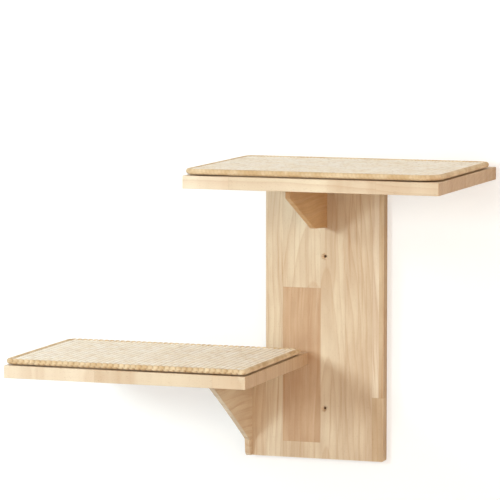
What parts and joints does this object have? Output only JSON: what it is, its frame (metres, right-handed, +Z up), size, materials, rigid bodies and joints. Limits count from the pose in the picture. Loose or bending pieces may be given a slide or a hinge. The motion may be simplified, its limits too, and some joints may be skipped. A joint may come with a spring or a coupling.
{
  "type": "wall mounted cat tree",
  "caption": "Wall mounted cat tree: upright wooden board with an upper and a lower shelf, bracket plates under them and a bordered woven mat on each.",
  "frame": {"origin": "on the wall plane, midway between the two wall holes, on the back board's centre line", "axes": "+Z up, -Y the front that faces the room, +Y into the wall, +X to the right seen from the front"},
  "size_m": [0.7825, 0.357, 0.541],
  "materials": {
    "board_wood": "satin",
    "shelf_wood": "satin",
    "gusset_wood": "satin",
    "dowel_wood": "satin",
    "mat_weave": "woven",
    "mat_rope": "woven",
    "pad_cloth": "woven",
    "screw_steel": "zinc plated"
  },
  "bodies": {
    "root": {"back_board": "board_wood", "upper_shelf": "shelf_wood", "lower_shelf": "shelf_wood", "upper_gusset": "gusset_wood", "lower_gusset": "gusset_wood", "upper_shelf_dowels": "dowel_wood", "lower_shelf_dowels": "dowel_wood", "upper_mat": "mat_weave", "lower_mat": "mat_weave", "upper_mat_binding": "mat_rope", "lower_mat_binding": "mat_rope", "upper_mat_hook_pads": "pad_cloth", "lower_mat_hook_pads": "pad_cloth", "upper_mat_loop_pads": "pad_cloth", "lower_mat_loop_pads": "pad_cloth", "upper_shelf_board_screws": "screw_steel", "upper_shelf_gusset_screws": "screw_steel", "lower_shelf_gusset_screws": "screw_steel", "lower_shelf_back_screws": "screw_steel", "upper_gusset_back_screws": "screw_steel", "lower_gusset_back_screws": "screw_steel"}
  },
  "joints": []
}
